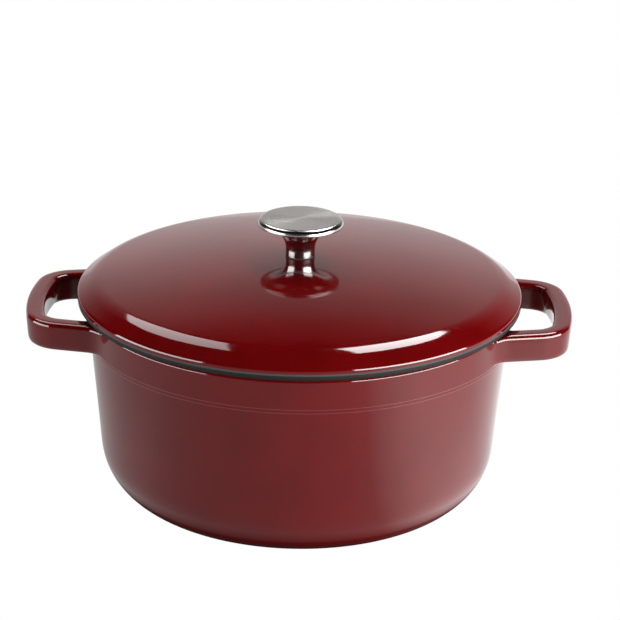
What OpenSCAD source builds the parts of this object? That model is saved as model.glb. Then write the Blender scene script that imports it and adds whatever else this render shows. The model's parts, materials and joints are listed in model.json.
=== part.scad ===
// Round enamelled cast iron dutch oven: a pot with two loop handles and a domed lid with a steel knob.
// Millimetres, +Z up. The origin is at the centre of the base, on the surface that the pot stands on.
// +X runs through the middle of one loop handle and -X through the other.

/* [Pot] */
// Outer radius of the band under the rim
band_r = 130.5; // [126:0.5:131.5]
// Height of the rim above the table
rim_z = 123; // [120:1:128]
// Height of the lower edge of the band
band_z = 104.6; // [98:0.1:105]
// How far the wall below the band stands in from it, over two small steps
band_step = 2.4; // [2.3:0.1:3.4]
// Height between the two steps
step_h = 2.7; // [2:0.1:5]
// Lean of the wall, outwards going up, in degrees
wall_lean = 5.2; // [1:0.1:7]
// Radius between the wall and the base
base_round = 36; // [20:1:38]
// Thickness of the iron wall
wall = 4; // [3:0.1:5]
// Thickness of the iron floor
floor_t = 4.5; // [3.5:0.1:6]

/* [Handles] */
// From the middle of the pot to the outer face of a handle
handle_reach = 167.5; // [165:0.5:176]
// Width of the handle bar, seen from above
bar_w = 12; // [11:0.5:13]
// Height of the handle bar
bar_h = 17.8; // [15:0.1:19]
// Rounding along the edges of the bar
bar_round = 3.4; // [1.5:0.1:3.8]
// Half of the distance between the middles of the two corners of a bar
bar_half = 25.8; // [22:0.1:28]
// Radius of the bar's middle line at its corners
bar_turn = 18; // [15:0.5:20]
// How much the arms spread towards the pot, in degrees
arm_spread = 11; // [8:1:14]
// Radius in the corner between an arm and the wall, inside the loop
root_in = 5; // [3:0.5:7]
// Radius between an arm and the wall, outside the loop
root_out = 12; // [8:0.5:14]

/* [Lid] */
// Outer radius of the lid
lid_r = 136; // [134.5:0.5:137.5]
// Height of the top of the dome above the rim
dome_rise = 29.7; // [28.6:0.1:36]
// Radius of the ball that the dome is cut from
dome_r = 595; // [560:5:800]
// Radius at which the dome ends and its shoulder starts
dome_edge = 120.5; // [119:0.5:123]
// Radius of the shoulder
shoulder_r = 22; // [8:0.5:24]
// Slope of the brim outside the shoulder, in degrees
brim_slope = 35; // [30:1:37]
// Rounding of the brim's upper edge
brim_round = 3.2; // [1:0.1:3.5]
// Thickness of the iron dome
lid_wall = 3.6; // [3:0.1:5]
// Radial play between the locating ring and the inside of the rim
ring_play = 1.8; // [0.8:0.1:4]
// How far the locating ring reaches down into the pot
ring_drop = 4; // [2:0.5:8]

/* [Knob] */
// Radius of the knob's flat top, over its rolled edge
cap_r = 26; // [22:0.5:28.5]
// Height of the knob's top above the dome
knob_h = 23.8; // [20.8:0.2:30]
// Height of the rolled edge
cap_h = 4.1; // [4:0.1:6]
// Radius of the stem where it stands on the lid
stem_r = 9; // [8:0.5:12]
// Thickness of the pressed steel
sheet = 1.4; // [1.1:0.1:1.8]
// Thickness of the gasket under the knob
gasket_t = 0.6; // [0.4:0.1:2]

/* [Finish] */
// Thickness of the fired enamel
coat = 0.35; // [0.2:0.05:0.5]
// Gap drawn between the lid and the rim that it rests on
seat_gap = 0.3; // [0.1:0.05:0.6]

/* [Hidden] */
$fn = 120;

enamel_red = [0.42, 0.03, 0.04];
enamel_cream = [0.90, 0.86, 0.76];
ground_black = [0.08, 0.08, 0.08];
steel = [0.74, 0.73, 0.71];
zinc = [0.62, 0.63, 0.65];

eps = 0.01;                                        // reach of a cut past the face that it opens
far = 400;                                         // larger than anything here

// Pot
foot_in = 80;                                      // bare foot ring, inner and outer radius
foot_out = 88;
foot_recess = 0.6;                                 // the base inside the ring stands this much off the table
rim_round_out = 2;
rim_round_in = 1.4;
step_z = band_z - step_h;                          // the lower of the two steps under the band
step_out = 0.65;                                   // rounding of a step's edge, and of the corner above the wall
step_in = 0.45;
rim_bare = 0.7;                                    // the red coat stops this far in from the band's face
inner_stop = 1.7;                                  // the cream coat stops this far below the rim
wall_slope = tan(wall_lean);
function wall_x(z) = band_r - band_step - (step_z - z) * wall_slope;
function bore_x(z) = wall_x(z) - wall / cos(wall_lean);
rim_in = bore_x(rim_z);                            // inner radius of the iron at the rim

// Lid
dome_z = rim_z + dome_rise;
dome_c = dome_z - dome_r;                          // height of the middle of the dome's ball
shoulder_at = asin(dome_edge / dome_r);            // slope of the dome where its shoulder starts
shoulder_c = [(dome_r - shoulder_r) * sin(shoulder_at), dome_c + (dome_r - shoulder_r) * cos(shoulder_at)];
function brim_z(x, in) = shoulder_c[1] + (shoulder_r - in) / cos(brim_slope)
                         - (x - shoulder_c[0]) * tan(brim_slope);
bare_z = brim_z(lid_r, 0) - 2.7;                   // the red coat ends here, above a bare edge
edge_z = bare_z - 4.1;                             // lowest point of the brim's edge
edge_round = 1.8;
edge_w = 2.6;                                      // width of the edge's underside
seat_z = rim_z + seat_gap;
seat_out = band_r + 1;                             // outside this the underside rises to the edge
ring_out = rim_in - coat - ring_play;
ring_in = ring_out - 3.6;
ring_z = rim_z - ring_drop;
hollow_round = 6;
hollow_r = dome_r - coat - lid_wall;               // radius of the ball under the dome
inside_z = dome_z - 2 * coat - lid_wall;           // top of the hollow, under its coat
screw_hole_r = 3.3;

// Knob and its fastening
cap_z = dome_z + knob_h - cap_h;                   // underside of the rolled edge
cap_round = 3.2;                                   // upper and lower rounding of the rolled edge
cap_foot = 0.7;
flange_r = cap_r - sheet - 0.1;                    // the stem's flange fits inside the cap's skirt
stem_sweep = flange_r - stem_r;                    // radius of the trumpet
stem_z = dome_z + gasket_t;
insert_r = stem_r - sheet;
insert_top = cap_z - 3;
thread_r = 3;
washer_t = 1;
lock_t = 1.5;
head_h = 3.2;
head_r = 5.8;
washer_r = head_r + 3.2;
washer_z = inside_z - pow(washer_r, 2) / (2 * hollow_r) - eps;  // top of the flat washer, where the coat curves down to it
head_z = washer_z - washer_t - lock_t;             // top of the screw head, against the lock washer

// Handle
bar_mid = handle_reach - bar_w / 2;                // radius of the outer stretch's middle line, about the pot
turn_a = 90 - arm_spread;
turn_c = [sqrt(pow(bar_mid - bar_turn, 2) - pow(bar_half, 2)), bar_half];
bow_a = atan2(turn_c[1], turn_c[0]);               // half of the angle that the outer stretch runs through
arm_u = [-cos(arm_spread), sin(arm_spread)];       // along an arm, towards the pot
arm_n = [sin(arm_spread), cos(arm_spread)];        // across it, away from the loop
arm_0 = turn_c + bar_turn * arm_n;
arm_len = (arm_0[0] - sqrt(pow(band_r, 2) - pow(arm_0[1], 2))) / cos(arm_spread) + 3;
arm_lap = 0.4;                                     // arms and outer stretch start this far inside a corner
arm_slim = 0.06;                                   // and their sides lie this far inside the corner's
bite = 0.15;                                       // a root's round cuts this deep into what it runs out on
key_w = bar_w - 2.8;                               // where an arm's iron runs through the coat
key_h = bar_h - 5;
key_a = atan2((arm_0 + arm_u * (arm_len - 3))[1], (arm_0 + arm_u * (arm_len - 3))[0]);

// Middle of a round of radius r between the arm's face on one side (side is 1 outside the loop,
// -1 inside it) and the band's face.
function root_c(r, side) =
    let (p = arm_0 + side * (bar_w / 2 + r - bite) * arm_n, k = p * arm_u)
    p + arm_u * (-k - sqrt(pow(k, 2) - p * p + pow(band_r + r - bite, 2)));

// Outline helpers

// The piece between a corner and the round that replaces it. p is [x, y, r].
module corner_piece(a, p, b) {
    o = [p[0], p[1]];
    u = ([a[0], a[1]] - o) / norm([a[0], a[1]] - o);
    v = ([b[0], b[1]] - o) / norm([b[0], b[1]] - o);
    w = (u + v) / norm(u + v);
    half = acos(u * v) / 2;
    c = o + w * p[2] / sin(half);
    t = p[2] / tan(half);
    difference() {
        polygon([o - w * eps, o + u * t, c, o + v * t]);
        translate(c) circle(r = p[2]);
    }
}

// Which way the outline turns at b: positive is to the left.
function bend(a, b, c) = (b[0] - a[0]) * (c[1] - b[1]) - (b[1] - a[1]) * (c[0] - b[0]);

// A polygon of [x, y, r] corners, taken counterclockwise, each rounded by its own r.
module rounded(pts) {
    n = len(pts);
    difference() {
        union() {
            polygon([for (p = pts) [p[0], p[1]]]);
            for (i = [0 : n - 1]) {
                a = pts[(i + n - 1) % n];
                b = pts[(i + 1) % n];
                if (pts[i][2] > 0 && bend(a, pts[i], b) < 0) corner_piece(a, pts[i], b);
            }
        }
        for (i = [0 : n - 1]) {
            a = pts[(i + n - 1) % n];
            b = pts[(i + 1) % n];
            if (pts[i][2] > 0 && bend(a, pts[i], b) > 0) corner_piece(a, pts[i], b);
        }
    }
}

module ring(r_in, r_out, z, h) {
    translate([0, 0, z]) difference() {
        cylinder(r = r_out, h = h);
        translate([0, 0, -eps]) cylinder(r = r_in, h = h + 2 * eps);
    }
}

// Handles

// Cross-section of the bar, in = how far inside the finished surface.
module bar_section(in = 0) {
    x = bar_w / 2 - in;
    z = [rim_z - bar_h + in, rim_z - in];
    r = bar_round - in;
    rounded([[-x, z[0], r], [x, z[0], r], [x, z[1], r], [-x, z[1], r]]);
}

// A round between an arm and the wall, as tall as the flat side of the bar.
module root(r, side) {
    c = root_c(r, side);
    h = bar_h - 2 * (bar_round + bite);
    translate([0, 0, rim_z - bar_h / 2 - h / 2]) linear_extrude(h) difference() {
        polygon([c, c - side * (r + 1) * arm_n, arm_0 + arm_len * arm_u, (band_r - 1) * c / norm(c)]);
        translate(c) circle(r = r);
    }
}

// One arm, with its corner and both of its roots.
module arm() {
    translate([turn_c[0], turn_c[1], 0]) rotate([0, 0, bow_a]) rotate_extrude(angle = turn_a - bow_a)
        translate([bar_turn, 0]) bar_section();
    translate([arm_0[0], arm_0[1], 0]) rotate([0, 0, turn_a]) rotate([90, 0, 0])
        translate([0, 0, -arm_len]) linear_extrude(arm_len + arm_lap) bar_section(arm_slim);
    root(root_in, -1);
    root(root_out, 1);
}

// Where the iron of the arms passes through the coat, from the wall's iron out into the bar.
module root_keys() {
    difference() {
        for (side = [-1, 1]) rotate([0, 0, side * key_a])
            translate([band_r - 2, -key_w / 2, rim_z - bar_h / 2 - key_h / 2]) cube([4, key_w, key_h]);
        cylinder(r = band_r - coat, h = far);
    }
}

// A loop handle, cast with the pot. Its outer stretch is bowed about the pot's axis.
module handle() {
    half_a = bow_a + arm_lap / bar_mid * 180 / PI;
    difference() {
        union() {
            rotate([0, 0, -half_a]) rotate_extrude(angle = 2 * half_a) translate([bar_mid, 0]) bar_section(arm_slim);
            arm();
            mirror([0, 1, 0]) arm();
        }
        cylinder(r = band_r, h = far);
    }
    root_keys();
}

module right_handle() {
    color(enamel_red) handle();
}

module left_handle() {
    color(enamel_red) mirror([1, 0, 0]) handle();
}

// Pot

// The filled outside of the pot, in = how far inside the finished surface.
module pot_outside(in) {
    lean_in = in / cos(wall_lean);
    rotate_extrude() rounded([
        [0, foot_recess + in, 0],
        [foot_in - in, foot_recess + in, 0],
        [foot_in - in, in, 0],
        [wall_x(in) - lean_in, in, base_round - in],
        [wall_x(step_z + in) - lean_in, step_z + in, step_in + in],
        [band_r - band_step / 2 - in, step_z + in, step_out - in],
        [band_r - band_step / 2 - in, band_z + in, step_in + in],
        [band_r - in, band_z + in, step_out - in],
        [band_r - in, rim_z - in, rim_round_out - in],
        [0, rim_z - in, 0]]);
}

// The filled inside of the pot, in = thickness of the coat on the iron.
module pot_inside(in) {
    rotate_extrude() rounded([
        [0, floor_t + foot_recess + in, 0],
        [bore_x(floor_t + in) - in / cos(wall_lean), floor_t + foot_recess + in, base_round - wall - in],
        [rim_in - in / cos(wall_lean), rim_z, rim_round_in],
        [rim_in + rim_round_in + 1, rim_z, 0],
        [rim_in + rim_round_in + 1, rim_z + 2, 0],
        [0, rim_z + 2, 0]]);
}

module pot_casting() {
    color(ground_black) difference() {
        union() {
            pot_outside(coat);
            ring(foot_in, foot_out, 0, foot_recess + 2 * coat);
            rotate_extrude() rounded([
                [rim_in - 1, rim_z - 3, 0],
                [band_r - rim_bare, rim_z - 3, 0],
                [band_r - rim_bare, rim_z, rim_round_out - rim_bare],
                [rim_in - 1, rim_z, 0]]);
        }
        pot_inside(0);
    }
}

module pot_outer_enamel() {
    color(enamel_red) difference() {
        pot_outside(0);
        pot_outside(coat);
        root_keys();
        mirror([1, 0, 0]) root_keys();
        ring(foot_in, foot_out, -1, foot_recess + 2 * coat + 1);
        translate([0, 0, rim_z - 3]) cylinder(r = band_r - rim_bare, h = 4);
    }
}

module pot_inner_enamel() {
    color(enamel_cream) difference() {
        pot_inside(0);
        pot_inside(coat);
        translate([0, 0, rim_z - inner_stop]) cylinder(r = lid_r, h = far);
    }
}

// Lid

// The filled top of the lid down to the edge of its red coat, in = how far inside the finished surface.
module lid_top(in) {
    touch = shoulder_c + (shoulder_r - in) * [sin(shoulder_at), cos(shoulder_at)];
    leave = shoulder_c + (shoulder_r - in) * [sin(brim_slope), cos(brim_slope)];
    rotate_extrude() {
        intersection() {
            translate([0, dome_c]) circle(r = dome_r - in, $fn = 720);
            translate([0, bare_z]) square([touch[0], far]);
        }
        intersection() {
            translate(shoulder_c) circle(r = shoulder_r - in);
            translate([0, leave[1]]) square([far, far]);
        }
        rounded([
            [0, bare_z, 0],
            [lid_r - in, bare_z, 0],
            [lid_r - in, brim_z(lid_r - in, in), brim_round - in],
            [leave[0], leave[1], 0],
            [touch[0], touch[1], 0],
            [0, touch[1], 0]]);
    }
}

// The filled hollow under the lid, in = thickness of the coat on the iron.
module lid_hollow(in) {
    r = hollow_round - in;
    x = ring_in - in - r;
    z = dome_c + sqrt(pow(hollow_r - in - r, 2) - pow(x, 2));
    touch = [x, z] + r * [x, z - dome_c] / (hollow_r - in - r);
    rotate_extrude() {
        intersection() {
            translate([0, dome_c]) circle(r = hollow_r - in, $fn = 720);
            translate([0, ring_z - 1]) square([touch[0], far]);
        }
        translate([x, z]) circle(r = r);
        polygon([[0, ring_z - 1], [ring_in - in, ring_z - 1], [ring_in - in, z], [x, z], touch, [0, touch[1]]]);
    }
}

module screw_hole() {
    translate([0, 0, inside_z - 5]) cylinder(r = screw_hole_r, h = 15);
}

module lid_casting() {
    color(ground_black) difference() {
        union() {
            lid_top(coat);
            rotate_extrude() rounded([
                [ring_in - 1, ring_z, 0],
                [ring_out, ring_z, 1.2],
                [ring_out, seat_z, 0.8],
                [seat_out, seat_z, 0],
                [lid_r - coat - edge_w, edge_z, 0.6],
                [lid_r - coat, edge_z, edge_round],
                [lid_r - coat, bare_z + 1, 0],
                [ring_in - 1, bare_z + 1, 0]]);
        }
        lid_hollow(0);
        screw_hole();
    }
}

module lid_outer_enamel() {
    color(enamel_red) difference() {
        lid_top(0);
        lid_top(coat);
        screw_hole();
    }
}

module lid_inner_enamel() {
    color(enamel_cream) difference() {
        lid_hollow(0);
        lid_hollow(coat);
        translate([0, 0, ring_z - 2]) cylinder(r = lid_r, h = 2 + inner_stop);
        screw_hole();
    }
}

// Knob and its fastening

module knob_cap() {
    color(steel) rotate_extrude() rounded([
        [0, cap_z + cap_h - sheet, 0],
        [cap_r - sheet, cap_z + cap_h - sheet, cap_round / 2],
        [cap_r - sheet, cap_z, 0.3],
        [cap_r, cap_z, cap_foot],
        [cap_r, cap_z + cap_h, cap_round],
        [0, cap_z + cap_h, 0]]);
}

// A trumpet of pressed steel with a flange that the cap is closed over.
module knob_stem() {
    arc_z = cap_z - stem_sweep;
    color(steel) rotate_extrude() difference() {
        union() {
            translate([stem_r - sheet, stem_z]) square([sheet, arc_z - stem_z + eps]);
            translate([stem_r - sheet, arc_z]) square([stem_sweep + sheet, stem_sweep + sheet]);
        }
        translate([flange_r, arc_z]) circle(r = stem_sweep);
        difference() {
            translate([stem_r - sheet - 1, arc_z]) square([stem_sweep + sheet + 2, stem_sweep + sheet + 1]);
            translate([flange_r, arc_z]) circle(r = stem_sweep + sheet);
        }
    }
}

module knob_insert() {
    color(zinc) difference() {
        rotate_extrude() rounded([
            [0, stem_z, 0],
            [insert_r, stem_z, 0],
            [insert_r, insert_top, 0.8],
            [0, insert_top, 0]]);
        translate([0, 0, stem_z - 1]) cylinder(r = thread_r, h = far);
    }
}

module knob_gasket() {
    color(ground_black) ring(screw_hole_r, stem_r, dome_z, gasket_t);
}

module flat_washer() {
    color(zinc) ring(thread_r + 0.2, washer_r, washer_z - washer_t, washer_t);
}

// Split ring, cut through at one side.
module lock_washer() {
    color(zinc) difference() {
        ring(thread_r + 0.15, head_r - 0.4, head_z, lock_t);
        rotate([0, 0, 25]) translate([0, -0.5, head_z - 1]) cube([head_r + 1, 1, lock_t + 2]);
    }
}

// Pan head with a cross recess, and a plain shank of the thread's outer size.
module knob_screw() {
    recess = [7, 1.3, 1.9];
    color(zinc) difference() {
        rotate_extrude() rounded([
            [0, head_z - head_h, 0],
            [head_r, head_z - head_h, 1.8],
            [head_r, head_z, 0.2],
            [thread_r - 0.05, head_z, 0],
            [thread_r - 0.05, insert_top - 1, 0.6],
            [0, insert_top - 1, 0]]);
        for (a = [0, 90]) rotate([0, 0, a]) translate([-recess[0] / 2, -recess[1] / 2, head_z - head_h - 1])
            cube([recess[0], recess[1], recess[2] + 1]);
    }
}

pot_casting();
left_handle();
right_handle();
pot_outer_enamel();
pot_inner_enamel();
lid_casting();
lid_outer_enamel();
lid_inner_enamel();
knob_cap();
knob_stem();
knob_insert();
knob_gasket();
flat_washer();
lock_washer();
knob_screw();
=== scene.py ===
import bmesh
import bpy
import json
import math
from mathutils import Matrix, Vector


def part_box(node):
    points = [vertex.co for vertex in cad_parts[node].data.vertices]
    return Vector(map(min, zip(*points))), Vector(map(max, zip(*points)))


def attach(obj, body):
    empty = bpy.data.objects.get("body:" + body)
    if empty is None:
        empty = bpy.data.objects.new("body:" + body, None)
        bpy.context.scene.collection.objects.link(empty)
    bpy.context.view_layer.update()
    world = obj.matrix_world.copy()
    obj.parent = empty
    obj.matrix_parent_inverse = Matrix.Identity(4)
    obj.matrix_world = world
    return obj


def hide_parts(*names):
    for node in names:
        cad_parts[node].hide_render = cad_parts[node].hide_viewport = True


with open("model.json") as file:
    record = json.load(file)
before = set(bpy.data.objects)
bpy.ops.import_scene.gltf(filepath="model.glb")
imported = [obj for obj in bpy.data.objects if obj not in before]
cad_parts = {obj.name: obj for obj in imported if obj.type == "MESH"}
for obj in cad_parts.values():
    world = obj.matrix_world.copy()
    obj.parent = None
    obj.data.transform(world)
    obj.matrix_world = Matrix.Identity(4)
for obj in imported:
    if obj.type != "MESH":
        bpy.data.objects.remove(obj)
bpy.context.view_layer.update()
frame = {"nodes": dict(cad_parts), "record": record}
record = frame["record"]
nodes = frame["nodes"]
mm = 0.001
smoothAngle = math.radians(40)
poleRadius = 0.01 * mm          # a turned outline stops this far from the axis, and the gap is closed after
print("frame loaded:", len(nodes), "parts")


def deselectAll():
    if bpy.context.mode != "OBJECT":
        bpy.ops.object.mode_set(mode="OBJECT")
    bpy.ops.object.select_all(action="DESELECT")


def pickOnly(obj):
    deselectAll()
    obj.select_set(True)
    bpy.context.view_layer.objects.active = obj


def arcPoints(cx, cz, radius, fromAngle, toAngle, steps):
    out = []
    for i in range(steps + 1):
        a = math.radians(fromAngle + (toAngle - fromAngle) * i / steps)
        out.append((cx + radius * math.cos(a), cz + radius * math.sin(a)))
    return out


def softCorners(corners, stepAngle=8.0, hold=0.35 * mm):
    # corners are (x, z, radius); each becomes a true arc with a holding point on either side
    pts = []
    n = len(corners)
    for i, (x, z, r) in enumerate(corners):
        b = Vector((x, z))
        if r <= 0:
            pts.append(b)
            continue
        u = (Vector(corners[i - 1][:2]) - b).normalized()
        v = (Vector(corners[(i + 1) % n][:2]) - b).normalized()
        half = math.acos(max(-1.0, min(1.0, u.dot(v)))) / 2
        cut = r / math.tan(half)
        mid = b + (u + v).normalized() * (r / math.sin(half))
        turn = math.pi - 2 * half
        sign = 1.0 if (u.x * v.y - u.y * v.x) < 0 else -1.0
        steps = max(2, math.ceil(math.degrees(turn) / stepAngle))
        start = b + u * cut - mid
        pts.append(b + u * (cut + hold))
        for k in range(steps + 1):
            a = sign * turn * k / steps
            pts.append(mid + Vector((start.x * math.cos(a) - start.y * math.sin(a),
                                     start.x * math.sin(a) + start.y * math.cos(a))))
        pts.append(b + v * (cut + hold))
    return [(p.x, p.y) for p in pts]


def startRing(name, segments, radius, z):
    deselectAll()
    bpy.ops.mesh.primitive_circle_add(vertices=segments, radius=radius, fill_type="NOTHING")
    obj = bpy.context.active_object
    obj.name = name
    obj.data.name = name
    bpy.ops.object.mode_set(mode="EDIT")
    bpy.ops.mesh.select_all(action="SELECT")
    bpy.ops.transform.translate(value=(0, 0, z))
    return obj


def growRings(outline):
    # carries the selected ring of edges on through the rest of the outline
    for (r0, z0), (r1, z1) in zip(outline, outline[1:]):
        bpy.ops.mesh.extrude_region_move(TRANSFORM_OT_translate={"value": (0, 0, z1 - z0)})
        bpy.ops.transform.resize(value=(r1 / r0, r1 / r0, 1), center_override=(0, 0, z1))


def closePoles(obj):
    reach = 2 * poleRadius
    bm = bmesh.from_edit_mesh(obj.data)
    for level in sorted({round(v.co.z, 7) for v in bm.verts if v.co.xy.length < reach}):
        bpy.ops.mesh.select_all(action="DESELECT")
        for v in bm.verts:
            v.select = v.co.xy.length < reach and abs(v.co.z - level) < 0.001 * mm
        bm.select_flush(True)
        bmesh.update_edit_mesh(obj.data)
        bpy.ops.mesh.merge(type="CENTER")
        bm = bmesh.from_edit_mesh(obj.data)


def turnedPiece(name, outline, segments=192):
    # a closed outline of (radius, height), turned round the pot's axis
    apart = 0.004 * mm
    pts = [(max(r, poleRadius), z) for r, z in outline]
    tidy = [pts[0]]
    for p in pts[1:]:
        if math.dist(p, tidy[-1]) > apart:
            tidy.append(p)
    if math.dist(tidy[0], tidy[-1]) < apart:
        tidy.pop()
    tidy.append(tidy[0])
    obj = startRing(name, segments, *tidy[0])
    growRings(tidy)
    bpy.ops.mesh.select_all(action="SELECT")
    bpy.ops.mesh.remove_doubles(threshold=0.0005 * mm)
    closePoles(obj)
    bpy.ops.mesh.select_all(action="SELECT")
    bpy.ops.mesh.normals_make_consistent(inside=False)
    bpy.ops.object.mode_set(mode="OBJECT")
    pickOnly(obj)
    bpy.ops.object.shade_smooth_by_angle(angle=smoothAngle)
    return obj


def finishPiece(obj, body, slotName, material, *stoodFor):
    obj.data.materials.clear()
    obj.data.materials.append(material)
    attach(obj, body)
    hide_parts(*stoodFor)
    print("made", obj.name, len(obj.data.polygons), "faces")


def emptyMaterial(name):
    mat = bpy.data.materials.new(name)
    mat.use_nodes = True
    mat.node_tree.nodes.clear()
    return mat, mat.node_tree


def startMaterial(name):
    mat, tree = emptyMaterial(name)
    out = tree.nodes.new("ShaderNodeOutputMaterial")
    shader = tree.nodes.new("ShaderNodeBsdfPrincipled")
    tree.links.new(shader.outputs[0], out.inputs[0])
    coords = tree.nodes.new("ShaderNodeTexCoord")
    return mat, tree, shader, coords.outputs["Object"]


def linkSurface(tree, shader, colour, roughness, normal):
    tree.links.new(colour, shader.inputs["Base Color"])
    tree.links.new(roughness, shader.inputs["Roughness"])
    tree.links.new(normal, shader.inputs["Normal"])


def grain(tree, vector, scale, detail=2.0, rough=0.5):
    tex = tree.nodes.new("ShaderNodeTexNoise")
    tex.inputs["Scale"].default_value = scale
    tex.inputs["Detail"].default_value = detail
    tex.inputs["Roughness"].default_value = rough
    tree.links.new(vector, tex.inputs["Vector"])
    return tex.outputs["Fac"]


def ramp(tree, value, stops):
    node = tree.nodes.new("ShaderNodeValToRGB")
    band = node.color_ramp
    while len(band.elements) < len(stops):
        band.elements.new(0.5)
    for element, (place, colour) in zip(band.elements, stops):
        element.position = place
        element.color = (*colour, 1)
    tree.links.new(value, node.inputs[0])
    return node.outputs[0]


def spread(tree, value, low, high, fromLow=0.0, fromHigh=1.0):
    node = tree.nodes.new("ShaderNodeMapRange")
    node.inputs["From Min"].default_value = fromLow
    node.inputs["From Max"].default_value = fromHigh
    node.inputs["To Min"].default_value = low
    node.inputs["To Max"].default_value = high
    tree.links.new(value, node.inputs["Value"])
    return node.outputs[0]


def maths(tree, kind, a, b=0.0):
    node = tree.nodes.new("ShaderNodeMath")
    node.operation = kind
    for socket, value in zip(node.inputs, (a, b)):
        if isinstance(value, (int, float)):
            socket.default_value = value
        else:
            tree.links.new(value, socket)
    return node.outputs[0]


def axesOf(tree, vector):
    node = tree.nodes.new("ShaderNodeSeparateXYZ")
    tree.links.new(vector, node.inputs[0])
    return node.outputs


def lengthOf(tree, vector):
    node = tree.nodes.new("ShaderNodeVectorMath")
    node.operation = "LENGTH"
    tree.links.new(vector, node.inputs[0])
    return node.outputs["Value"]


def blendTo(tree, share, under, colour):
    node = tree.nodes.new("ShaderNodeMix")
    node.data_type = "RGBA"
    tree.links.new(share, node.inputs[0])
    tree.links.new(under, node.inputs[6])
    node.inputs[7].default_value = (*colour, 1)
    return node.outputs[2]


def bump(tree, height, strength, distance, below=None):
    node = tree.nodes.new("ShaderNodeBump")
    node.inputs["Strength"].default_value = strength
    node.inputs["Distance"].default_value = distance
    tree.links.new(height, node.inputs["Height"])
    if below is not None:
        tree.links.new(below, node.inputs["Normal"])
    return node.outputs[0]


def glazeBump(tree, place, slowScale, waviness, fineScale):
    # fired enamel: slow waves with a fine orange peel over them
    slow = bump(tree, grain(tree, place, slowScale), waviness, 0.25 * mm)
    return bump(tree, grain(tree, place, fineScale), 0.06, 0.03 * mm, slow)


redLook = {
    "deep": (0.084, 0.0010, 0.0014),
    "bright": (0.106, 0.0018, 0.0024),
    "roughness": (0.045, 0.085),
    "waviness": 0.10,
    "edgeSheenAndThinGlaze": (0.22, 0.038, 0.039),            # lighter lines over the two edges under the band: partly the glaze running thin there, partly a painted highlight standing in for the floor's reflection in those edges
    "edgeSheenAndThinGlazeAt": (101.95 * mm, 104.65 * mm),
    "edgeSheenAndThinGlazeReach": 0.55 * mm,
}


def makeRedEnamel():
    mat, tree, shader, place = startMaterial("redEnamel")
    cloud = grain(tree, place, scale=26, detail=3)
    plain = ramp(tree, cloud, [(0.3, redLook["deep"]), (0.7, redLook["bright"])])
    height = axesOf(tree, place)[2]
    # lighter red lines along the two step edges: partly thin glaze, partly a painted highlight in place of
    # the floor's reflection there
    away = [maths(tree, "ABSOLUTE", maths(tree, "SUBTRACT", height, level)) for level in redLook["edgeSheenAndThinGlazeAt"]]
    nearest = maths(tree, "MINIMUM", away[0], away[1])
    reach = redLook["edgeSheenAndThinGlazeReach"]
    colour = blendTo(tree, spread(tree, nearest, 1.0, 0.0, 0.25 * reach, reach), plain, redLook["edgeSheenAndThinGlaze"])
    fine = grain(tree, place, scale=140, detail=4, rough=0.6)
    roughness = spread(tree, fine, *redLook["roughness"], fromLow=0.35, fromHigh=0.65)
    linkSurface(tree, shader, colour, roughness, glazeBump(tree, place, 70, redLook["waviness"], 900))
    shader.inputs["IOR"].default_value = 1.52
    shader.inputs["Coat Weight"].default_value = 0.25
    shader.inputs["Coat Roughness"].default_value = 0.03
    return mat


creamLook = {
    "dark": (0.66, 0.58, 0.42),
    "pale": (0.76, 0.69, 0.54),
    "roughness": (0.10, 0.18),
    "waviness": 0.12,
}


def makeCreamEnamel():
    mat, tree, shader, place = startMaterial("creamEnamel")
    mottle = grain(tree, place, scale=40, detail=4, rough=0.6)
    colour = ramp(tree, mottle, [(0.3, creamLook["dark"]), (0.7, creamLook["pale"])])
    roughness = spread(tree, grain(tree, place, scale=160, detail=3), *creamLook["roughness"])
    linkSurface(tree, shader, colour, roughness, glazeBump(tree, place, 80, creamLook["waviness"], 800))
    shader.inputs["IOR"].default_value = 1.5
    return mat


groundLook = {"dark": (0.010, 0.0095, 0.009), "pale": (0.020, 0.019, 0.018), "roughness": (0.38, 0.58)}


def blackFleck(tree, place):
    fleck = grain(tree, place, scale=900, detail=5, rough=0.7)
    return fleck, ramp(tree, fleck, [(0.35, groundLook["dark"]), (0.7, groundLook["pale"])])


def makeBlackGroundCoat():
    mat, tree, shader, place = startMaterial("blackGroundCoat")
    fleck, colour = blackFleck(tree, place)
    roughness = spread(tree, grain(tree, place, scale=300, detail=3), *groundLook["roughness"])
    slow = bump(tree, grain(tree, place, scale=160, detail=3), 0.25, 0.3 * mm)
    linkSurface(tree, shader, colour, roughness, bump(tree, fleck, 0.35, 0.08 * mm, slow))
    shader.inputs["IOR"].default_value = 1.5
    return mat


lidIronLook = {
    "edge": (0.062, 0.056, 0.055),
    "bareTo": 127.5 * mm,                # the grey starts above this height
    "fromBase": 181 * mm,                # and beyond this distance from the middle of the pot's base
    "roughness": (0.5, 0.7),
}


def makeLidIron():
    # the thin grey line where the red stops, over the black of the underside
    look = lidIronLook
    mat, tree, shader, place = startMaterial("lidIron")
    fleck, black = blackFleck(tree, place)
    above = spread(tree, axesOf(tree, place)[2], 0.0, 1.0, look["bareTo"], look["bareTo"] + 0.5 * mm)
    beyond = spread(tree, lengthOf(tree, place), 0.0, 1.0, look["fromBase"], look["fromBase"] + 1.0 * mm)
    colour = blendTo(tree, maths(tree, "MULTIPLY", above, beyond), black, look["edge"])
    roughness = spread(tree, grain(tree, place, scale=300, detail=3), *look["roughness"])
    linkSurface(tree, shader, colour, roughness, bump(tree, fleck, 0.3, 0.08 * mm))
    shader.inputs["IOR"].default_value = 1.25
    return mat


capLook = {
    "colour": (0.60, 0.575, 0.545),
    "brushedTo": 22.9 * mm,
    "brushScale": 2600,
    "brushRoughness": (0.26, 0.38),
    "edgeRoughness": 0.19,
}


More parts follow.
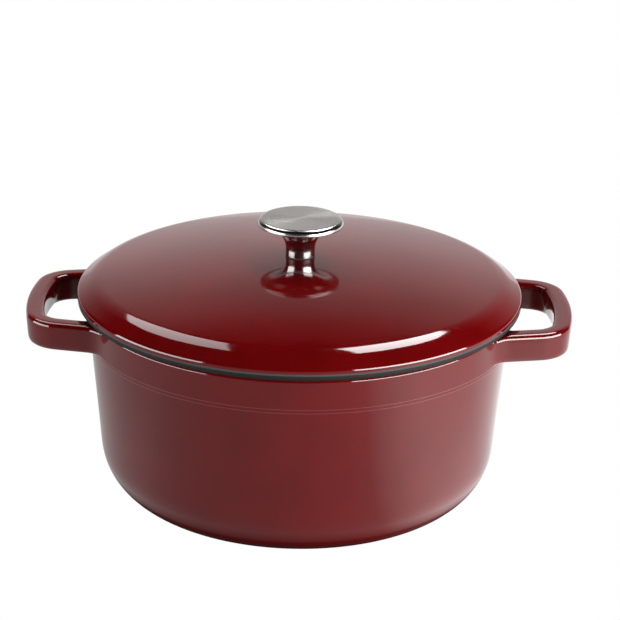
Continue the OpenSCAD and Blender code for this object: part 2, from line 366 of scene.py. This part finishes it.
def makeBrushedCap():
    mat, tree, shader, place = startMaterial("brushedCap")
    axes = axesOf(tree, place)
    flat = tree.nodes.new("ShaderNodeCombineXYZ")
    tree.links.new(axes[0], flat.inputs[0])
    tree.links.new(axes[1], flat.inputs[1])
    radius = lengthOf(tree, flat.outputs[0])
    ring = tree.nodes.new("ShaderNodeTexNoise")
    ring.noise_dimensions = "1D"
    ring.inputs["Scale"].default_value = capLook["brushScale"]
    ring.inputs["Detail"].default_value = 4
    ring.inputs["Roughness"].default_value = 0.7
    tree.links.new(radius, ring.inputs["W"])
    lines = ring.outputs["Fac"]
    onFace = spread(tree, radius, 1.0, 0.0, capLook["brushedTo"], capLook["brushedTo"] + 0.5 * mm)
    low, high = capLook["brushRoughness"]
    brushed = maths(tree, "MULTIPLY", spread(tree, lines, low, high, 0.3, 0.7), onFace)
    plain = maths(tree, "MULTIPLY", maths(tree, "SUBTRACT", 1.0, onFace), capLook["edgeRoughness"])
    dark = tuple(c * 0.86 for c in capLook["colour"])
    pale = tuple(min(1, c * 1.1) for c in capLook["colour"])
    colour = ramp(tree, lines, [(0.25, dark), (0.75, pale)])
    grooves = bump(tree, maths(tree, "MULTIPLY", lines, onFace), 0.25, 0.02 * mm)
    linkSurface(tree, shader, colour, maths(tree, "ADD", brushed, plain), grooves)
    shader.inputs["Metallic"].default_value = 1.0
    shader.inputs["Anisotropic"].default_value = 0.6
    around = tree.nodes.new("ShaderNodeVectorMath")
    around.operation = "CROSS_PRODUCT"
    around.inputs[0].default_value = (0, 0, 1)
    tree.links.new(flat.outputs[0], around.inputs[1])
    tree.links.new(around.outputs[0], shader.inputs["Tangent"])
    return mat


stemLook = {"colour": (0.62, 0.605, 0.585), "roughness": (0.13, 0.20)}
platedLook = {"dark": (0.46, 0.47, 0.49), "pale": (0.60, 0.61, 0.62), "roughness": (0.22, 0.42)}
rubberLook = {"dark": (0.012, 0.012, 0.012), "pale": (0.024, 0.024, 0.024), "roughness": (0.5, 0.7)}


def makePolishedStem():
    mat, tree, shader, place = startMaterial("polishedStem")
    dark = tuple(c * 0.9 for c in stemLook["colour"])
    colour = ramp(tree, grain(tree, place, scale=200), [(0.3, dark), (0.7, stemLook["colour"])])
    fine = grain(tree, place, scale=500, detail=3)
    roughness = spread(tree, fine, *stemLook["roughness"], fromLow=0.3, fromHigh=0.7)
    linkSurface(tree, shader, colour, roughness, bump(tree, grain(tree, place, scale=1200), 0.05, 0.02 * mm))
    shader.inputs["Metallic"].default_value = 1.0
    return mat


def makePlatedSteel():
    look = platedLook
    mat, tree, shader, place = startMaterial("platedSteel")
    colour = ramp(tree, grain(tree, place, scale=350, detail=3), [(0.3, look["dark"]), (0.7, look["pale"])])
    fine = grain(tree, place, scale=900, detail=4, rough=0.6)
    roughness = spread(tree, fine, *look["roughness"], fromLow=0.3, fromHigh=0.7)
    linkSurface(tree, shader, colour, roughness, bump(tree, grain(tree, place, scale=1500), 0.1, 0.02 * mm))
    shader.inputs["Metallic"].default_value = 1.0
    return mat


def makeBlackRubber():
    look = rubberLook
    mat, tree, shader, place = startMaterial("blackRubber")
    colour = ramp(tree, grain(tree, place, scale=700, detail=3), [(0.3, look["dark"]), (0.7, look["pale"])])
    roughness = spread(tree, grain(tree, place, scale=900), *look["roughness"])
    pores = grain(tree, place, scale=1500, detail=3)
    linkSurface(tree, shader, colour, roughness, bump(tree, pores, 0.2, 0.03 * mm))
    return mat


finishes = {
    "red_enamel": makeRedEnamel(),
    "cream_enamel": makeCreamEnamel(),
    "bare_iron": makeBlackGroundCoat(),
    "brushed_cap": makeBrushedCap(),
    "polished_stem": makePolishedStem(),
    "plated_steel": makePlatedSteel(),
    "black_rubber": makeBlackRubber(),
}


def paintNode(node, material):
    if not node.data.materials:
        node.data.materials.append(None)
    for i in range(len(node.data.materials)):
        node.data.materials[i] = material


for row in record["subparts"]:
    paintNode(nodes[row["node"]], finishes[row["material_slot"]])
print("materials ready:", len(finishes))

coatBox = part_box("pot_outer_enamel")
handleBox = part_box("right_handle")
potShape = {
    "bandRadius": coatBox[1].x,
    "rimTop": handleBox[1].z,
    "bandFoot": 104.6 * mm,
    "step": 2.4 * mm,              # over two small steps, this far apart:
    "stepHeight": 2.7 * mm,
    "stepHold": 0.75 * mm,         # extra rings this near keep the steps crisp, and the foot of the band:
    "bandHold": 1.2 * mm,
    "baseRound": 36 * mm,
    "baseArcAt": 85.95 * mm,
    "baseRings": 8,
    "baseRingTurn": 11.0,
    "lean": 5.2,
    "wallRings": (46 * mm, 60 * mm, 75 * mm, 90 * mm, 98 * mm),
    "bandRings": (110.3 * mm, 116.2 * mm, 121.0 * mm),
    "rimRings": ((0.08 * mm, 121.9 * mm), (0.7 * mm, 122.52 * mm)),      # how far inwards, and the height
    "handleFaces": (13.5, 27),     # each arm grows from the band's faces between these degrees
    "coatStart": 88 * mm,          # the bare foot ring lies inside this
    "coatThickness": 0.35 * mm,
    "segments": 80,
    "smoothing": 2,
    "baseDisc": (79.6 * mm, 0.6 * mm),
}
handleShape = {
    "reach": handleBox[1].x,
    "bottom": handleBox[0].z,
    "top": handleBox[1].z,
    "width": 12 * mm,
    "footWidth": 9.6 * mm,
    "cornerAt": 25.8 * mm,
    "cornerRadius": 18 * mm,
    "cornerSteps": 8,
    "spreadAngle": 11,
    "across": (-1.0, -0.12, 0.12, 1.0),      # where the four columns of a section stand
    "upright": (-1.0, -0.36, 0.36, 1.0),
    # how far from the corner the arm's sections stand, for each column, and where the bow's do
    "armSections": ((17.0, 20.6, 21.8, 24.4), (11.0, 13.6, 14.4, 16.8), (4.5, 5.5, 5.7, 7.0)),
    "bowSections": (0.62, 0.3, 0.0),
}


def smoothingGain(turn):
    # subdivision draws a ring of points inwards; this widens it to land on its radius again
    return 1 / (1 - (1 - math.cos(turn)) / 3)


def potRings():
    p = potShape
    startX = p["coatStart"] - p["baseArcAt"]
    arcFirst = -90 + math.degrees(math.asin(startX / p["baseRound"]))
    arcR = p["baseRound"] * smoothingGain(math.radians(p["baseRingTurn"]))
    rings = [(p["coatStart"], p["baseRound"] - math.sqrt(p["baseRound"] ** 2 - startX ** 2))]
    for k in range(1, p["baseRings"] + 1):
        a = math.radians(arcFirst + (-p["lean"] - arcFirst) * k / p["baseRings"])
        rings.append((p["baseArcAt"] + arcR * math.cos(a), p["baseRound"] + arcR * math.sin(a)))
    band, bandFoot, hold = p["bandRadius"], p["bandFoot"], p["stepHold"]
    stepZ = bandFoot - p["stepHeight"]
    slope = math.tan(math.radians(p["lean"]))
    for z in (*p["wallRings"], stepZ - 1.0 * mm, stepZ):
        rings.append((band - p["step"] - (stepZ - z) * slope, z))
    for z in (stepZ, stepZ + hold, bandFoot - hold, bandFoot):
        rings.append((band - p["step"] / 2, z))
    for z in (bandFoot, bandFoot + p["bandHold"], *p["bandRings"]):
        rings.append((band, z))
    for inwards, z in p["rimRings"]:
        rings.append((band - inwards, z))
    widen = smoothingGain(2 * math.pi / p["segments"])
    return [(r * widen, z) for r, z in rings]


def armSections():
    # four-by-four grids of points along one arm, from near the wall to the middle of the outer bar
    h = handleShape
    bowRadius = h["reach"] - h["width"] / 2          # the outer bar is bowed about the pot's axis
    turnRadius = h["cornerRadius"]
    spreadAngle = math.radians(h["spreadAngle"])
    toPot = Vector((-math.cos(spreadAngle), math.sin(spreadAngle)))
    outside = Vector((math.sin(spreadAngle), math.cos(spreadAngle)))
    turnAt = Vector((math.sqrt((bowRadius - turnRadius) ** 2 - h["cornerAt"] ** 2), h["cornerAt"]))
    bowAngle = math.atan2(turnAt.y, turnAt.x)
    armStart = turnAt + outside * turnRadius
    midZ = (h["bottom"] + h["top"]) / 2
    halfUp = (h["top"] - h["bottom"]) / 2
    grids = []

    def grid(place):
        # place(column, offset across) gives a point seen from above
        rows = []
        for u in h["upright"]:
            half = (h["footWidth"] + (h["width"] - h["footWidth"]) * (u + 1) / 2) / 2
            spots = [place(c, half * h["across"][c]) for c in range(4)]
            rows.append([Vector((spot.x, spot.y, midZ + halfUp * u)) for spot in spots])
        grids.append(rows)

    for along in h["armSections"]:
        grid(lambda c, off: armStart + outside * off + toPot * along[c] * mm)
    steps = h["cornerSteps"]
    stepTurn = (math.pi / 2 - spreadAngle - bowAngle) / steps
    widen = smoothingGain(stepTurn)
    for i in range(steps + 1):
        a = math.pi / 2 - spreadAngle - stepTurn * i
        out = Vector((math.cos(a), math.sin(a)))
        grid(lambda c, off: turnAt + out * (turnRadius + off) * (widen if 0 < i < steps else 1))
    for part in h["bowSections"]:
        out = Vector((math.cos(bowAngle * part), math.sin(bowAngle * part)))
        grid(lambda c, off: out * (bowRadius + off))
    return grids


def pickRootFaces(obj, sideX, sideY):
    first, last = potShape["handleFaces"]
    low, high = potShape["bandFoot"] + potShape["bandHold"], potShape["bandRings"][-1]
    bpy.ops.mesh.select_all(action="DESELECT")
    bm = bmesh.from_edit_mesh(obj.data)
    for f in bm.faces:
        c = f.calc_center_median()
        f.select = first < math.degrees(math.atan2(c.y * sideY, c.x * sideX)) < last and low < c.z < high
    bmesh.update_edit_mesh(obj.data)


def growArm(obj, sections, sideX, sideY):
    # the picked faces are extruded once for each section, and their points put on its grid
    grid = None
    for section in sections:
        bpy.ops.mesh.extrude_region_move(TRANSFORM_OT_translate={"value": (0, 0, 0)})
        bm = bmesh.from_edit_mesh(obj.data)
        cap = [v for v in bm.verts if v.select]
        if grid is None:
            cap.sort(key=lambda v: v.co.z)
            rows = [sorted(cap[4 * i:4 * i + 4], key=lambda v: v.co.y * sideY) for i in range(4)]
            grid = [[v.co.copy() for v in row] for row in rows]
        where = {}
        for v in cap:
            spots = ((r, c) for r in range(4) for c in range(4))
            where[min(spots, key=lambda rc: (grid[rc[0]][rc[1]] - v.co).length)] = v
        grid = [[Vector((spot.x * sideX, spot.y * sideY, spot.z)) for spot in row] for row in section]
        for (r, c), v in where.items():
            v.co = grid[r][c]
        bmesh.update_edit_mesh(obj.data)
    bpy.ops.mesh.delete(type="FACE")


def buildPotSkin():
    rings = potRings()
    obj = startRing("potSkin", potShape["segments"], *rings[0])
    growRings(rings)
    bpy.ops.mesh.select_all(action="SELECT")
    bpy.ops.mesh.normals_make_consistent(inside=False)
    bpy.ops.mesh.select_mode(type="FACE")
    sections = armSections()
    for sideX in (1, -1):
        for sideY in (1, -1):
            pickRootFaces(obj, sideX, sideY)
            growArm(obj, sections, sideX, sideY)
    bpy.ops.mesh.select_mode(type="VERT")
    bpy.ops.mesh.select_all(action="SELECT")
    bpy.ops.mesh.remove_doubles(threshold=0.01 * mm)
    bpy.ops.mesh.normals_make_consistent(inside=False)
    bpy.ops.object.mode_set(mode="OBJECT")
    pickOnly(obj)
    smooth = obj.modifiers.new("smooth", "SUBSURF")
    smooth.levels = smooth.render_levels = potShape["smoothing"]
    bpy.ops.object.modifier_apply(modifier="smooth")
    wall = obj.modifiers.new("wall", "SOLIDIFY")
    wall.thickness = potShape["coatThickness"]
    wall.offset = -1
    bpy.ops.object.modifier_apply(modifier="wall")
    bpy.ops.object.shade_smooth_by_angle(angle=smoothAngle)
    finishPiece(obj, "pot", "red_enamel", finishes["red_enamel"],
                "pot_outer_enamel", "left_handle", "right_handle")


def buildBaseCoat():
    discR, low = potShape["baseDisc"]
    high = low + potShape["coatThickness"]
    line = softCorners([(0, low, 0), (discR, low, 0.12 * mm), (discR, high, 0), (0, high, 0)])
    baseCoat = turnedPiece("baseCoat", line)
    finishPiece(baseCoat, "pot", "red_enamel", finishes["red_enamel"], "pot_outer_enamel")


buildPotSkin()
buildBaseCoat()

insideShape = {
    "wall": 4 * mm,
    "floorZ": 5.1 * mm,
    "boreFoot": 4.5 * mm,          # the wall's thickness is counted from this height
    "round": 32 * mm,
    "footRing": (80 * mm, 88 * mm),
    "recess": 0.95 * mm,
    "ringEdge": 0.42 * mm,         # the red coat starts at this height on the foot ring
    "coatGap": 0.36 * mm,          # how far the iron lies behind the red skin round the base
    "wallGap": 0.4 * mm,           # and at the top of the wall
    "arcFrom": -86.5,
    "stepFoot": 102.4 * mm,
    "stepRadius": 128.8 * mm,
    "bandFoot": 105.1 * mm,
    "bandRadius": 130.1 * mm,
    "bandTop": 120.6 * mm,
    "bareRim": 129.8 * mm,
    "rimRounds": (1.3 * mm, 1.4 * mm),
    "creamEnd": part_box("pot_inner_enamel")[1].z,
}


def wallX(z):
    p = potShape
    stepZ = p["bandFoot"] - p["stepHeight"]
    return p["bandRadius"] - p["step"] - (stepZ - z) * math.tan(math.radians(p["lean"]))


def boreCorners(inset):
    # the inside of the pot from the middle of its floor to its rim
    inside = insideShape
    back = (inside["wall"] + inset) / math.cos(math.radians(potShape["lean"]))
    low = (wallX(inside["boreFoot"] + inset) - back, inside["floorZ"] + inset)
    high = (wallX(potShape["rimTop"]) - back, potShape["rimTop"])
    return low, high


def buildPotIron():
    inside, p = insideShape, potShape
    ringIn, ringOut = inside["footRing"]
    line = softCorners([
        (0, inside["recess"], 0),
        (ringIn, inside["recess"], 0.1 * mm),
        (ringIn, 0, 0.15 * mm),
        (ringOut, 0, 0.15 * mm),
        (ringOut, inside["ringEdge"], 0)], hold=0.1 * mm)
    ironRound = p["baseRound"] - inside["coatGap"]
    line += arcPoints(p["baseArcAt"], p["baseRound"], ironRound, inside["arcFrom"], -p["lean"], 24)
    stepZ = p["bandFoot"] - p["stepHeight"]
    wallEnd = wallX(stepZ) - inside["wallGap"]
    line += [(wallEnd, stepZ), (wallEnd, inside["stepFoot"]), (inside["stepRadius"], inside["stepFoot"])]
    line += [(inside["stepRadius"], inside["bandFoot"]), (inside["bandRadius"], inside["bandFoot"])]
    line.append((inside["bandRadius"], inside["bandTop"] - 0.1 * mm))
    low, high = boreCorners(0)
    outerRound, innerRound = inside["rimRounds"]
    line += softCorners([
        (inside["bandRadius"], inside["bandTop"], 0),
        (inside["bareRim"], inside["bandTop"], 0),
        (inside["bareRim"], p["rimTop"], outerRound),
        (*high, innerRound),
        (*low, inside["round"]),
        (0, low[1], 0)], stepAngle=5, hold=0.2 * mm)
    potIron = turnedPiece("potIron", line)
    finishPiece(potIron, "pot", "bare_iron", finishes["bare_iron"], "pot_casting")


def wallEndAt(corners, z):
    low, high = corners
    return (low[0] + (high[0] - low[0]) * ((z - low[1]) / (high[1] - low[1])), z)


def buildPotCream():
    inside = insideShape
    thickness = potShape["coatThickness"]
    under, over = boreCorners(0), boreCorners(thickness)
    line = softCorners([
        (0, under[0][1], 0),
        (*under[0], inside["round"]),
        (*wallEndAt(under, inside["creamEnd"]), 0),
        (*wallEndAt(over, inside["creamEnd"]), 0),
        (*over[0], inside["round"] - thickness),
        (0, over[0][1], 0)], stepAngle=5, hold=0.2 * mm)
    potCream = turnedPiece("potCream", line)
    finishPiece(potCream, "pot", "cream_enamel", finishes["cream_enamel"], "pot_inner_enamel")


buildPotIron()
buildPotCream()

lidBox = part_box("lid_outer_enamel")
lidShape = {
    "radius": lidBox[1].x,
    "top": lidBox[1].z,
    "ballRadius": 595 * mm,
    "ballSteps": 26,
    "domeEdge": 120.5 * mm,
    "shoulderRadius": 22 * mm,
    "shoulderSteps": 12,
    "brimSlope": 35,
    "edgeRound": 3.2 * mm,
    "hold": 0.6 * mm,
    "coatEnd": lidBox[0].z,
    "coatThickness": 0.35 * mm,
    "hole": 3.3 * mm,
}


def ballPoints(radius, ballZ, firstTilt, lastTilt, steps):
    tilts = (firstTilt + (lastTilt - firstTilt) * (k / steps) for k in range(steps + 1))
    return [(radius * math.sin(a), ballZ + radius * math.cos(a)) for a in tilts]


def lidLine(inset):
    s = lidShape
    ballZ = s["top"] - s["ballRadius"]
    tilt, slope = math.asin(s["domeEdge"] / s["ballRadius"]), math.radians(s["brimSlope"])
    cx = (s["ballRadius"] - s["shoulderRadius"]) * math.sin(tilt)
    cz = ballZ + (s["ballRadius"] - s["shoulderRadius"]) * math.cos(tilt)
    ball = s["ballRadius"] - inset
    line = ballPoints(ball, ballZ, math.asin(s["hole"] / ball), tilt, s["ballSteps"])
    r = s["shoulderRadius"] - inset
    for k in range(1, s["shoulderSteps"] + 1):
        a = tilt + (slope - tilt) * k / s["shoulderSteps"]
        line.append((cx + r * math.sin(a), cz + r * math.cos(a)))
    edgeX = s["radius"] - inset
    leave = line[-1]
    cornerZ = leave[1] - (edgeX - leave[0]) * math.tan(slope)
    bend = softCorners([(*leave, 0), (edgeX, cornerZ, s["edgeRound"] - inset), (edgeX, s["coatEnd"], 0)],
                       stepAngle=5, hold=s["hold"])
    line.append((leave[0] + s["hold"] * math.cos(slope), leave[1] - s["hold"] * math.sin(slope)))
    return line + bend[1:]


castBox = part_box("lid_casting")
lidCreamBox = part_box("lid_inner_enamel")
hollowShape = {
    "ringIn": lidCreamBox[1].x,
    "ringOut": 123.86 * mm,
    "ringRoot": 0.8 * mm,
    "ringTip": 1.2 * mm,
    "ringInside": 0.3 * mm,
    "ringBottom": castBox[0].z,
    "seatZ": 123.3 * mm,
    "seatOut": 131.5 * mm,
    "seatCorner": 0.3 * mm,
    "edgeZ": 124.9 * mm,
    "edgeWidth": 2.6 * mm,
    "edgeRound": 1.8 * mm,
    "edgeInside": 0.6 * mm,
    "wall": 3.6 * mm,
    "round": 6 * mm,
    "creamEnd": lidCreamBox[0].z,
}


def hollowLine(inset, endZ):
    # the hollow under the lid, from the screw's hole outwards and down to endZ
    h, s = hollowShape, lidShape
    ballZ = s["top"] - s["ballRadius"]
    ball = s["ballRadius"] - s["coatThickness"] - h["wall"] - inset
    r = h["round"] - inset
    cx = h["ringIn"] - inset - r
    cz = ballZ + math.sqrt((ball - r) ** 2 - cx ** 2)
    last = math.atan2(cx, cz - ballZ)
    line = ballPoints(ball, ballZ, math.asin(s["hole"] / ball), last, 24)
    line += arcPoints(cx, cz, r, 90 - math.degrees(last), 0, 12)[1:]
    return line + [(cx + r, cz - 0.5 * mm), (cx + r, endZ)]


def buildLidSkin():
    lidSkin = turnedPiece("lidSkin", lidLine(0) + lidLine(lidShape["coatThickness"])[::-1])
    finishPiece(lidSkin, "lid", "red_enamel", finishes["red_enamel"], "lid_outer_enamel")


def buildLidIron():
    h = hollowShape
    edgeX = lidShape["radius"] - lidShape["coatThickness"]
    under = softCorners([
        (edgeX, lidShape["coatEnd"], 0),
        (edgeX, h["edgeZ"], h["edgeRound"]),
        (edgeX - h["edgeWidth"], h["edgeZ"], h["edgeInside"]),
        (h["seatOut"], h["seatZ"], h["seatCorner"]),
        (h["ringOut"], h["seatZ"], h["ringRoot"]),
        (h["ringOut"], h["ringBottom"], h["ringTip"]),
        (h["ringIn"], h["ringBottom"], h["ringInside"]),
        (h["ringIn"], h["seatZ"], 0)], hold=0.15 * mm)
    hollow = hollowLine(0, h["ringBottom"] + 0.5 * mm)
    lidIron = turnedPiece("lidIron", lidLine(lidShape["coatThickness"]) + under[1:-1] + hollow[::-1])
    finishPiece(lidIron, "lid", "bare_iron", makeLidIron(), "lid_casting")


def buildLidCream():
    endZ = hollowShape["creamEnd"]
    over = hollowLine(lidShape["coatThickness"], endZ)
    lidCream = turnedPiece("lidCream", hollowLine(0, endZ) + over[::-1])
    finishPiece(lidCream, "lid", "cream_enamel", finishes["cream_enamel"], "lid_inner_enamel")


buildLidSkin()
buildLidIron()
buildLidCream()

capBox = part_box("knob_cap")
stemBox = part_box("knob_stem")
knobShape = {
    "capRadius": capBox[1].x,
    "capBottom": capBox[0].z,
    "capTop": capBox[1].z,
    "capRound": 3.2 * mm,
    "capFoot": 0.7 * mm,
    "capInside": 0.3 * mm,
    "capSegments": 160,
    "sheet": 1.4 * mm,
    "stemRadius": 9 * mm,
    "stemBottom": stemBox[0].z,
    "stemSegments": 128,
    "flange": stemBox[1].x,
}


def buildKnobCap():
    k = knobShape
    innerRadius = k["capRadius"] - k["sheet"]
    line = softCorners([
        (0, k["capTop"] - k["sheet"], 0),
        (innerRadius, k["capTop"] - k["sheet"], k["capRound"] / 2),
        (innerRadius, k["capBottom"], k["capInside"]),
        (k["capRadius"], k["capBottom"], k["capFoot"]),
        (k["capRadius"], k["capTop"], k["capRound"]),
        (0.6 * k["capRadius"], k["capTop"], 0),
        (0, k["capTop"], 0)], stepAngle=7, hold=0.12 * mm)
    knobCap = turnedPiece("knobCap", line, segments=k["capSegments"])
    finishPiece(knobCap, "lid", "brushed_cap", finishes["brushed_cap"], "knob_cap")


def buildKnobStem():
    k = knobShape
    flare = k["flange"] - k["stemRadius"]
    flareZ = k["capBottom"] - flare
    line = [(k["stemRadius"], k["stemBottom"]), (k["stemRadius"], flareZ - 0.4 * mm)]
    line += arcPoints(k["flange"], flareZ, flare, 180, 90, 30)
    line += arcPoints(k["flange"], flareZ, flare + k["sheet"], 90, 180, 20)
    line.append((k["stemRadius"] - k["sheet"], k["stemBottom"]))
    knobStem = turnedPiece("knobStem", line, segments=k["stemSegments"])
    finishPiece(knobStem, "lid", "polished_stem", finishes["polished_stem"], "knob_stem")


buildKnobCap()
buildKnobStem()

cameraLook = {
    "azimuth": 0.9,
    "height": 22.58,
    "distance": 1.6095,
    "aimAt": (0, 0, 0.060),
    "aimShift": (0.00472319, 0.03302362),
    "roll": 1.05,
    "lens": 150,
}


def aimFrom(spot, target, roll):
    turn = (target - spot).to_track_quat("-Z", "Y").to_matrix()
    return turn @ Matrix.Rotation(math.radians(roll), 3, "Z")


def placeCamera():
    s = cameraLook
    az, el = math.radians(s["azimuth"]), math.radians(s["height"])
    target = Vector(s["aimAt"])
    away = Vector((math.sin(az) * math.cos(el), -math.cos(az) * math.cos(el), math.sin(el)))
    spot = target + s["distance"] * away
    look = aimFrom(spot, target, s["roll"])
    right, up = look.col[0], look.col[1]
    aim = target + s["distance"] * (right * s["aimShift"][0] + up * s["aimShift"][1])
    camera = bpy.data.objects.new("camera", bpy.data.cameras.new("camera"))
    bpy.context.scene.collection.objects.link(camera)
    camera.data.lens = s["lens"]
    camera.data.sensor_width = 36
    camera.data.clip_end = 50
    camera.matrix_world = Matrix.Translation(spot) @ aimFrom(spot, aim, s["roll"]).to_4x4()
    bpy.context.scene.camera = camera


placeCamera()

panelSet = {
    # corners are (degrees from straight up, degrees round from the back, + to the right)
    "upperRight": {
        "corners": [(27, 12), (35, 16), (42, 20), (47, 23), (44, 36),
                    (39, 50), (33, 57), (22, 65), (15, 71)],
        "away": 2.4,
        "centreZ": 0.14,
        "strength": 11.0,
    },
    "upperLeft": {
        "corners": [(33, -20), (40, -22), (47, -24), (54, -29), (51, -47),
                    (44, -57), (35, -65), (26, -72), (18, -78)],
        "away": 2.4,
        "centreZ": 0.14,
        "strength": 3.7,
    },
}


def glowMaterial(name, strength):
    mat, tree = emptyMaterial(name)
    out = tree.nodes.new("ShaderNodeOutputMaterial")
    glow = tree.nodes.new("ShaderNodeEmission")
    glow.inputs["Strength"].default_value = strength
    tree.links.new(glow.outputs[0], out.inputs[0])
    return mat


def softPanel(name, look):
    deselectAll()
    bpy.ops.mesh.primitive_circle_add(vertices=len(look["corners"]), radius=1, fill_type="NGON")
    panel = bpy.context.active_object
    panel.name = name
    for v, (zenith, back) in zip(panel.data.vertices, look["corners"]):
        zenith, back = math.radians(zenith), math.radians(back)
        flat = math.sin(zenith)
        v.co = Vector((flat * math.sin(back), flat * math.cos(back), math.cos(zenith))) * look["away"]
        v.co.z += look["centreZ"]
    panel.data.materials.append(glowMaterial(name, look["strength"]))
    panel.visible_camera = False


for name, look in panelSet.items():
    softPanel(name, look)

lampSet = {
    "lampRight": {"azimuth": 58, "away": 1.6, "foot": 0.01, "width": 1.9, "height": 0.60, "glow": 16.0},
    "lampLeft": {"azimuth": -72, "away": 1.6, "foot": 0.01, "width": 1.6, "height": 0.64, "glow": 7.5},
}
backLamp = {"place": (0, 2.15, 1.50), "width": 1.8, "height": 1.8, "glow": 11.0}


def addLamp(name, lamp, place, towards):
    light = bpy.data.objects.new(name, bpy.data.lights.new(name, "AREA"))
    bpy.context.scene.collection.objects.link(light)
    light.data.shape = "RECTANGLE"
    light.data.size, light.data.size_y = lamp["width"], lamp["height"]
    light.data.energy = lamp["glow"] * math.pi * lamp["width"] * lamp["height"]
    light.location = place
    light.rotation_euler = towards.to_track_quat("-Z", "Y").to_euler()
    light.visible_camera = False
    return light


def addSideLamp(name, lamp):
    a = math.radians(lamp["azimuth"])
    x, y = math.sin(a) * lamp["away"], -math.cos(a) * lamp["away"]
    addLamp(name, lamp, (x, y, lamp["height"] / 2 + lamp["foot"]), Vector((-x, -y, 0)))


for name, lamp in lampSet.items():
    addSideLamp(name, lamp)

# the lamp behind the pot lights the lid evenly and leaves no reflection on it
lampBack = addLamp("lampBack", backLamp, backLamp["place"], -Vector(backLamp["place"]))
lampBack.visible_glossy = False

# brightness by degrees: round the floor from the front, + to the right, and up the backdrop from the floor
floorGlow = [
    (-180, 0.85), (-147, 0.63), (-126, 0.50), (-66, 0.49), (-47, 0.40), (-30, 0.36),
    (5, 0.37), (22, 0.44), (31, 0.55), (38, 0.95), (47, 1.30), (58, 1.45),
    (72, 1.27), (90, 0.98), (105, 1.01), (128, 1.20), (159, 1.02), (180, 0.85)]
floorShade = {"inner": 0.110, "outer": 0.126, "under": 0.05}
backdropGlow = [
    (0, 0.82), (12, 0.80), (18, 0.70), (24, 0.58), (30, 0.40), (35, 0.26), (40, 0.08), (45, 0.0), (90, 0.0)]
backdropSides = (12, 48)             # it fades between these degrees from straight behind


def stopsRamp(tree, value, table, top):
    # a curve of brightness over an angle, given as (degrees, brightness)
    low, high = table[0][0], table[-1][0]
    stops = [((angle - low) / (high - low), (level / top,) * 3) for angle, level in table]
    reading = spread(tree, value, 0, 1, math.radians(low), math.radians(high))
    return maths(tree, "MULTIPLY", ramp(tree, reading, stops), top)


def whiteWhereSeen(tree, kind, out, strength):
    # the camera sees plain white, and the pot is lit with the strength given
    seen = tree.nodes.new(kind)
    seen.inputs["Color"].default_value = (1, 1, 1, 1)
    glow = tree.nodes.new(kind)
    tree.links.new(strength, glow.inputs["Strength"])
    path = tree.nodes.new("ShaderNodeLightPath")
    mix = tree.nodes.new("ShaderNodeMixShader")
    tree.links.new(path.outputs["Is Camera Ray"], mix.inputs[0])
    tree.links.new(glow.outputs[0], mix.inputs[1])
    tree.links.new(seen.outputs[0], mix.inputs[2])
    tree.links.new(mix.outputs[0], out.inputs[0])


def makeFloor():
    deselectAll()
    bpy.ops.mesh.primitive_plane_add(size=12)
    floor = bpy.context.active_object
    floor.name = "floor"
    mat, tree = emptyMaterial("paleFloor")
    place = tree.nodes.new("ShaderNodeTexCoord").outputs["Object"]
    axes = axesOf(tree, place)
    turn = maths(tree, "ARCTAN2", axes[0], maths(tree, "MULTIPLY", axes[1], -1.0))
    byAngle = stopsRamp(tree, turn, floorGlow, top=1.5)
    look = floorShade
    shade = spread(tree, lengthOf(tree, place), look["under"], 1.0, look["inner"], look["outer"])
    out = tree.nodes.new("ShaderNodeOutputMaterial")
    whiteWhereSeen(tree, "ShaderNodeEmission", out, maths(tree, "MULTIPLY", byAngle, shade))
    floor.data.materials.append(mat)
    # the backdrop behind it is as white, and this way the base can be looked at from below
    floor.visible_camera = False


def makeWorld():
    world = bpy.data.worlds.new("studio")
    bpy.context.scene.world = world
    world.use_nodes = True
    tree = world.node_tree
    tree.nodes.clear()
    axes = axesOf(tree, tree.nodes.new("ShaderNodeTexCoord").outputs["Generated"])
    level = stopsRamp(tree, maths(tree, "ARCSINE", axes[2]), backdropGlow, top=1.0)
    turn = maths(tree, "ABSOLUTE", maths(tree, "ARCTAN2", axes[0], axes[1]))
    near, far = backdropSides
    behind = spread(tree, turn, 1.0, 0.0, math.radians(near), math.radians(far))
    out = tree.nodes.new("ShaderNodeOutputWorld")
    whiteWhereSeen(tree, "ShaderNodeBackground", out, maths(tree, "MULTIPLY", level, behind))


makeFloor()
makeWorld()
bpy.context.scene.view_settings.view_transform = "Standard"
print("stage set")
